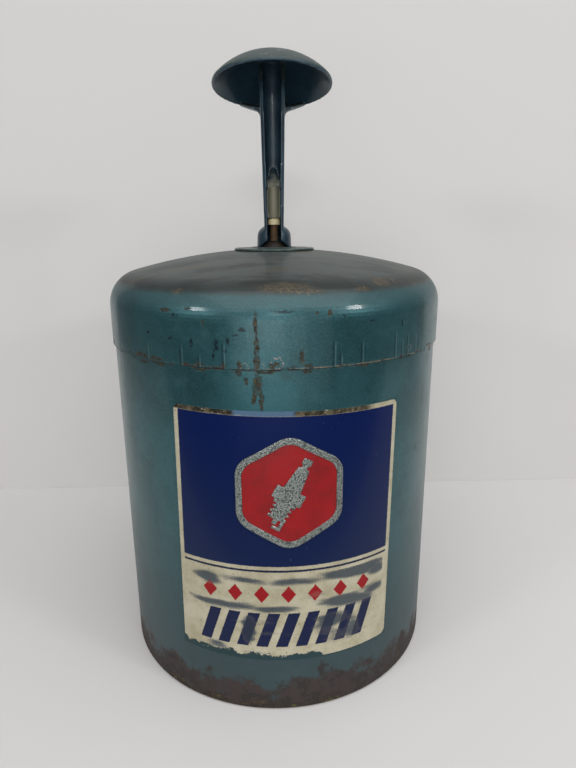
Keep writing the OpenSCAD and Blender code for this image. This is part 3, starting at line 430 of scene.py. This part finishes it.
def handle_enamel():
    finish, tree, where = new_finish("worn_blue_black_enamel")
    z = add(tree, "SeparateXYZ", (where,), 2)
    up = add(tree, "SeparateXYZ", (add(tree, "TexCoord", out=1),), 2)
    at_head = add(tree, "MapRange", (z, HEAD_Z - 0.022, HEAD_Z - 0.012))
    outside = both(tree, add(tree, "MapRange", (up, -0.05, 0.3), interpolation_type="SMOOTHSTEP"), at_head)
    hollow = both(tree, add(tree, "MapRange", (up, 0.1, -0.2)), at_head)
    # Painted bounce light: lighter blue blotches on the hollow's downward faces
    painted_bounce_light_in_hollow = both(tree, hollow, patches(tree, where, 20, 0.1, 0.6, 3), 0.8)
    worn = both(tree, outside, patches(tree, where, 14, 0.2, 0.5))
    rub = both(tree, outside, patches(tree, where, 7, 0.55, 0.7), 0.8)
    out = add(tree, "VectorMath", (where, (1, 1, 0)), operation="MULTIPLY")
    out = add(tree, "VectorMath", (out,), 1, operation="LENGTH")
    ragged = add(tree, "Math", (both(tree, patches(tree, where, 4, 0.3, 0.7), 0.012), z), operation="ADD")
    boss = both(tree, add(tree, "MapRange", (out, *BOSS_R)), add(tree, "MapRange", (ragged, *BOSS_Z)))
    chips = both(tree, patches(tree, where, 1.7, 0.66, 0.69), patches(tree, where, 20, 0.45, 0.6))
    colour = coats(tree, pigment("#172c39"), (patches(tree, where, 24, 0.35, 0.7, 3), pigment("#213b48")),
                   (painted_bounce_light_in_hollow, pigment("#33505f")), (worn, pigment("#3c4745")), (rub, pigment("#7d867f")),
                   (both(tree, boss, 0.9), pigment("#7a7762")), (chips, pigment("#8f948c")))
    dull = either(tree, worn, rub, boss)
    swell = patches(tree, where, 4, 0.1, 0.9, 4)
    close(tree, {"Base Color": colour, "Metallic": 0.15, "Roughness": add(tree, "MapRange", (dull, 0, 1, 0.4, 0.56)),
                 "IOR": 1.5, "Coat Weight": add(tree, "MapRange", (dull, 0, 1, 0.2, 0.05)), "Coat Roughness": 0.12,
                 "Normal": add(tree, "Bump", {"Strength": 0.3, "Distance": 0.0006, "Height": swell})})
    return finish


# Oily painted steel of the flange: a dark green-grey film with bright specks where it is chipped.
def oily_steel():
    finish, tree, where = new_finish("oily_painted_steel")
    chips = patches(tree, where, 1.6, 0.66, 0.7)
    swell = patches(tree, where, 1.5, 0.2, 0.8)
    colour = coats(tree, pigment("#2a3836"), (patches(tree, where, 7, 0.3, 0.7), pigment("#4d5c57")),
                   (chips, pigment("#b9c2bb")))
    close(tree, {"Base Color": colour, "Metallic": 0.55, "Roughness": patches(tree, where, 9, -0.3, 1.6),
                 "Normal": add(tree, "Bump", {"Strength": 0.4, "Distance": 0.0003, "Height": swell})})
    return finish


# Bare metals, turned, drawn or plated: fine tool marks round the axis, drawn at half a millimetre so that they show,
# duller where they are handled, with brown stains here and there.
def bare_metal(name, bright, dull, rough, tarnish):
    finish, tree, where = new_finish(name)
    age = patches(tree, where, 10, 0.42, 0.72)
    stain = both(tree, patches(tree, where, 4, 0.55, 0.72, 7, 0.8), tarnish)
    lines = patches(tree, add(tree, "Mapping", {"Vector": where, "Scale": (0.02, 0.02, 1)}), 0.5, 0.2, 0.8, 2)
    colour = coats(tree, pigment(bright), (age, pigment(dull)), (stain, pigment("#4a3a28")))
    close(tree, {"Base Color": colour, "Metallic": 1.0,
                 "Roughness": add(tree, "MapRange", (age, 0, 1, rough, rough + 0.2)),
                 "Normal": add(tree, "Bump", {"Strength": 0.25, "Distance": 0.0002, "Height": lines})})
    return finish


# Rusted steel of the push rod: brown, rough and scaly, with a few brighter patches that are rubbed.
def rusted_steel():
    finish, tree, where = new_finish("rusted_steel")
    scale = patches(tree, where, 2.5, 0.25, 0.75, 7, 0.75)
    bare = patches(tree, where, 5, 0.62, 0.7, 4)
    colour = coats(tree, pigment("#33261a"), (scale, pigment("#6f5130")), (bare, pigment("#7c766c")))
    close(tree, {"Base Color": colour, "Metallic": both(tree, bare, 0.9), "Roughness": 0.7,
                 "Normal": add(tree, "Bump", {"Strength": 0.6, "Distance": 0.0003, "Height": scale})})
    return finish


# Moulded rubber: matt and nearly black, with a fine orange peel and patches of dust.
def moulded_rubber(name, dark, dust):
    finish, tree, where = new_finish(name)
    peel = patches(tree, where, 1.2, 0.2, 0.8, 3)
    colour = coats(tree, pigment(dark), (both(tree, patches(tree, where, 5, 0.4, 0.8), 0.6), pigment(dust)))
    close(tree, {"Base Color": colour, "Roughness": add(tree, "MapRange", (peel, 0, 1, 0.55, 0.75)), "IOR": 1.52,
                 "Specular IOR Level": 0.4,
                 "Normal": add(tree, "Bump", {"Strength": 0.3, "Distance": 0.0003, "Height": peel})})
    return finish


# Moulded acetal of the rod's collar: cream, yellowed, grimy in patches, a little light goes into it.
def aged_acetal():
    finish, tree, where = new_finish("aged_cream_acetal")
    colour = coats(tree, pigment("#d3c59a"), (patches(tree, where, 3, 0.45, 0.75), pigment("#8f8260")))
    close(tree, {"Base Color": colour, "Roughness": 0.45, "IOR": 1.48, "Subsurface Weight": 0.06,
                 "Subsurface Radius": (0.004, 0.003, 0.002)})
    return finish


# Pressed wool felt behind the vents: matt, fibrous and dusty.
def wool_felt():
    finish, tree, where = new_finish("wool_felt")
    fibre = patches(tree, where, 0.8, 0.2, 0.8, 5, 0.8)
    colour = coats(tree, pigment("#8d8266"), (fibre, pigment("#cabf9f")))
    close(tree, {"Base Color": colour, "Roughness": 0.95, "Sheen Weight": 0.3,
                 "Normal": add(tree, "Bump", {"Strength": 0.8, "Distance": 0.0006, "Height": fibre})})
    return finish


enamelled_handle = handle_enamel()
plated_steel = bare_metal("zinc_plated_steel", "#b4b7b6", "#7f8482", 0.32, 0.35)
for finish, names in (
        (teal_enamel("teal_enamel_of_the_drum", False), ("drum_shell",)),
        (teal_enamel("teal_enamel_of_the_lid", True), ("lid",)),
        (oily_steel(), ("top_flange",)),
        (enamelled_handle, ("handle",)),
        (bare_metal("tinned_sheet_steel", "#8f9492", "#6a6f6d", 0.42, 0.6),
         ("drum_base", "hopper_ring", "hopper_cone", "sump_cup", "lid_seat_ring")),
        (plated_steel,
         ("sump_rivets", "vent_retainer", "valve_screws", "valve_spring", "inlet_locknut", "adapter_ring",
          "adapter_screws", "adapter_nuts", "blast_nozzle", "suction_tube", "set_screw", "rod_nut")),
        (bare_metal("cast_zinc_alloy", "#a9acab", "#868a88", 0.4, 0.25), ("flange_nut", "gun_body", "mixing_block")),
        (bare_metal("turned_brass", "#b9924e", "#86683a", 0.28, 0.4),
         ("valve_body", "valve_cap", "air_inlet", "air_jet", "valve_poppet")),
        (bare_metal("drawn_copper", "#b8734d", "#7c4a33", 0.28, 0.4), ("inlet_pipe", "blast_pipe")),
        (rusted_steel(), ("push_rod",)),
        (moulded_rubber("brown_black_rubber", "#1a1512", "#41362c"), ("rod_boot",)),
        (moulded_rubber("black_rubber", "#141414", "#35322e"),
         ("lid_gasket", "rod_seal", "poppet_seal", "plug_adapter")),
        (aged_acetal(), ("rod_collar",)),
        (wool_felt(), ("vent_felt",))):
    for name in names:
        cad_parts[name].data.materials.clear()
        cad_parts[name].data.materials.append(finish)


# Pieces that CAD keeps plainer, or leaves out because they are only a printed skin

def apply(piece, name, kind, **settings):
    """Puts a modifier on a piece and applies it."""
    step = piece.modifiers.new(name, kind)
    for key, value in settings.items():
        setattr(step, key, value)
    bpy.ops.object.modifier_apply(modifier=name)


def wrap_on_drum(piece, radius):
    """Bends a flat piece, drawn at y = 0 with the drum's arc along X, round the drum's axis."""
    across = [corner.co.x for corner in piece.data.vertices]
    angle = (max(across) - min(across)) / radius
    apply(piece, "bend", "SIMPLE_DEFORM", deform_method="BEND", deform_axis="Z", angle=angle)
    bpy.ops.object.mode_set(mode="EDIT")
    bpy.ops.mesh.select_all(action="SELECT")
    bpy.ops.transform.translate(value=(0, -radius, 0))
    bpy.ops.object.mode_set(mode="OBJECT")


def finish_piece(piece, name, body, material):
    """Gives the piece that is at hand its name, its material and its body, and lets go of it."""
    piece.name = piece.data.name = name
    piece.data.materials.clear()
    piece.data.materials.append(material)
    bpy.ops.object.shade_smooth_by_angle(angle=math.radians(40))
    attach(piece, body)
    bpy.ops.object.select_all(action="DESELECT")


# The label: a sheet of foil a fifth of a millimetre thick
bpy.ops.mesh.primitive_grid_add(x_subdivisions=120, y_subdivisions=24, size=1)
sheet = bpy.context.object
sheet.rotation_euler = (math.radians(90), LABEL_LEAN, 0)
sheet.location = (LABEL_U, 0, LABEL_V)
sheet.scale = (LABEL_WIDE, LABEL_TALL, 1)
bpy.ops.object.transform_apply(location=True, rotation=True, scale=True)
apply(sheet, "thickness", "SOLIDIFY", thickness=0.00018, offset=-1)
wrap_on_drum(sheet, FACE_R)
finish_piece(sheet, "label", "drum", printed_foil())


# The badge: a hexagon with a raised rim, a red field and a plain outline of a plug in relief

def front_hexagon(reach, corner, near, far):
    """A hexagonal plate with rounded corners, from near mm in front of the label's face to far mm behind it."""
    bpy.ops.mesh.primitive_circle_add(vertices=6, radius=reach, fill_type="NGON", rotation=(math.radians(90), 0, 0),
                                      location=(BADGE_U, far / 1000, BADGE_V))
    bpy.ops.object.transform_apply(location=True, rotation=True, scale=True)
    bpy.ops.object.mode_set(mode="EDIT")
    bpy.ops.mesh.select_all(action="SELECT")
    bpy.ops.mesh.bevel(affect="VERTICES", offset=corner, segments=6)
    bpy.ops.mesh.select_all(action="SELECT")
    bpy.ops.mesh.extrude_region_move(TRANSFORM_OT_translate={"value": (0, -(near + far) / 1000, 0)})
    bpy.ops.mesh.select_all(action="SELECT")
    bpy.ops.mesh.normals_make_consistent(inside=False)
    bpy.ops.object.mode_set(mode="OBJECT")
    return bpy.context.object


def press(piece, step, rounds):
    """Rounds a hard shape's edges as pressing does, gives it small even faces, and bends it to the drum."""
    apply(piece, "skin", "REMESH", mode="VOXEL", voxel_size=step, adaptivity=0)
    apply(piece, "ease", "SMOOTH", factor=0.5, iterations=rounds)
    wrap_on_drum(piece, FACE_R)


foil = pebbled_foil()
opening = front_hexagon(0.0362, 0.006, 3, 3)
rim = front_hexagon(0.0415, 0.008, 1.1, 0.3)
apply(rim, "opening", "BOOLEAN", operation="DIFFERENCE", object=opening, solver="EXACT")
bpy.data.objects.remove(opening)
press(rim, 0.0005, 4)
finish_piece(rim, "badge_rim", "drum", foil)

field = front_hexagon(0.0372, 0.006, 0.5, 0.3)
press(field, 0.0005, 2)
finish_piece(field, "badge_field", "drum", red_lacquer())

# The plug, from its terminal down to its threads and side electrode, in units of 0.92 mm:
# lower and upper height, lower and upper half width, and the place across
PLUG_UNIT = 0.00092
PLUG_THICK = 0.0014
PLUG = [(23, 28, 3.6, 3.6, 0), (19, 24, 2.2, 2.2, 0), (1, 20.5, 6.8, 4.4, 0), (-8, 2, 11.5, 11.5, 0),
        (-11, -7, 8.6, 8.6, 0), (-23, -10, 5.4, 5.4, 0), (-27, -22, 1.9, 1.9, 0), (-30.5, -22, 1.4, 1.4, 5.4),
        (-30.5, -28.1, 3.6, 3.6, 3.2)]
PLUG += [(low, low + 2, 7.4, 7.4, 0) for low in (-22.4, -18.4, -14.4)]
bars = []
for low, high, foot, head, across in PLUG:
    bpy.ops.mesh.primitive_cone_add(vertices=4, radius1=foot * math.sqrt(2), radius2=head * math.sqrt(2),
                                    depth=high - low, rotation=(0, 0, math.radians(45)))
    bpy.ops.object.transform_apply(location=False, rotation=True, scale=True)
    bpy.context.object.scale = (PLUG_UNIT, PLUG_THICK / (foot + head), PLUG_UNIT)
    bpy.context.object.location = (PLUG_UNIT * across, -0.0004, PLUG_UNIT / 2 * (low + high) + 0.001)
    bars.append(bpy.context.object)
for bar in bars:
    bar.select_set(True)
bpy.ops.object.transform_apply(location=True, rotation=True, scale=True)
bpy.ops.object.join()
plug = bpy.context.object
plug.rotation_euler = (0, math.radians(28), 0)
plug.location = (BADGE_U, 0, BADGE_V)
bpy.ops.object.transform_apply(location=True, rotation=True, scale=True)
press(plug, 0.00025, 26)
finish_piece(plug, "badge_plug", "drum", foil)


def merged_copy(node):
    """A copy of a CAD node's mesh with its loose triangles joined, which then takes the node's place."""
    piece = bpy.data.objects.new(node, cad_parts[node].data.copy())
    bpy.context.scene.collection.objects.link(piece)
    piece.select_set(True)
    bpy.context.view_layer.objects.active = piece
    bpy.ops.object.mode_set(mode="EDIT")
    bpy.ops.mesh.select_all(action="SELECT")
    bpy.ops.mesh.remove_doubles(threshold=0.00001)
    bpy.ops.object.mode_set(mode="OBJECT")
    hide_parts(node)
    return piece


# The handle: sand cast, so every edge of the CAD form is eased
cast = merged_copy("handle")
apply(cast, "skin", "REMESH", mode="VOXEL", voxel_size=0.0007, adaptivity=0)
apply(cast, "ease", "SMOOTH", factor=0.5, iterations=5)
finish_piece(cast, "handle_casting", "handle", enamelled_handle)

# The valve's spring, which closes up by the handle's whole travel on the real cleaner: here a merged copy of the CAD
# coil, on the lid, with a mesh of its own
spring = merged_copy("valve_spring")
finish_piece(spring, "valve_spring_coil", "lid", plated_steel)
low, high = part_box("valve_spring")
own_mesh(spring)


# Floor and backdrop, which the drum stands on and in front of

def pale_cloth(name, one_sided):
    """A matt pale cloth. A one-sided one is clear from behind."""
    finish, tree, _ = new_finish(name)
    shade = add(tree, "BsdfPrincipled", {"Base Color": pigment("#d2d0ce"), "Roughness": 0.95,
                                         "Specular IOR Level": 0.1})
    if one_sided:
        behind = add(tree, "NewGeometry", out=6)
        shade = add(tree, "MixShader", (behind, shade, add(tree, "BsdfTransparent")))
    add(tree, "OutputMaterial", {"Surface": shade})
    return finish


bpy.ops.mesh.primitive_plane_add(size=1, location=(0, 0.27, -0.0003))
floor = bpy.context.object
floor.name = "floor"
floor.scale = (2.4, 1.1, 1)
floor.data.materials.append(pale_cloth("pale_floor", False))
bpy.ops.mesh.primitive_plane_add(size=1, location=(0.12, 0.25, 0.6), rotation=(math.radians(90), 0, 0))
wall = bpy.context.object
wall.name = "backdrop"
wall.scale = (1.1, 1.2, 1)
wall.data.materials.append(pale_cloth("pale_backdrop", True))


# Lights: three soft boxes, which the lid's shoulder mirrors, three nested panels in front, and a large one overhead

def soft_box(name, turn, rise, away, wide, tall, power):
    """A soft box this many degrees to the right of the front and above the bench, aimed at the drum."""
    lamp = bpy.data.objects.new(name, bpy.data.lights.new(name, "AREA"))
    bpy.context.scene.collection.objects.link(lamp)
    lamp.data.shape = "RECTANGLE"
    lamp.data.size, lamp.data.size_y = wide, tall
    lamp.data.energy = power
    turn, rise = math.radians(turn), math.radians(rise)
    toward = Vector((math.sin(turn) * math.cos(rise), -math.cos(turn) * math.cos(rise), math.sin(rise)))
    lamp.location = Vector((0, 0, 0.25)) + toward * away
    lamp.rotation_euler = toward.to_track_quat("Z", "Y").to_euler()


soft_box("box_front", 0, 22, 1.3, 0.16, 0.1, 1.8)
soft_box("box_left", -50, 22, 1.3, 0.22, 0.12, 2.6)
soft_box("box_right", 52, 22, 1.3, 0.22, 0.12, 3.2)
soft_box("panel_front_wide", 3, -1, 1.52, 1.9, 0.9, 2.8)
soft_box("panel_front_middle", -3, -2, 1.5, 1.2, 0.6, 1.6)
soft_box("panel_front_narrow", -6, -3, 1.48, 0.6, 0.35, 0.9)
soft_box("panel_overhead", 10, 62, 2.2, 3.4, 2.6, 50)
world = bpy.data.worlds.new("room")
bpy.context.scene.world = world
world.use_nodes = True
world.node_tree.nodes["Background"].inputs[0].default_value = pigment("#6a6d70")
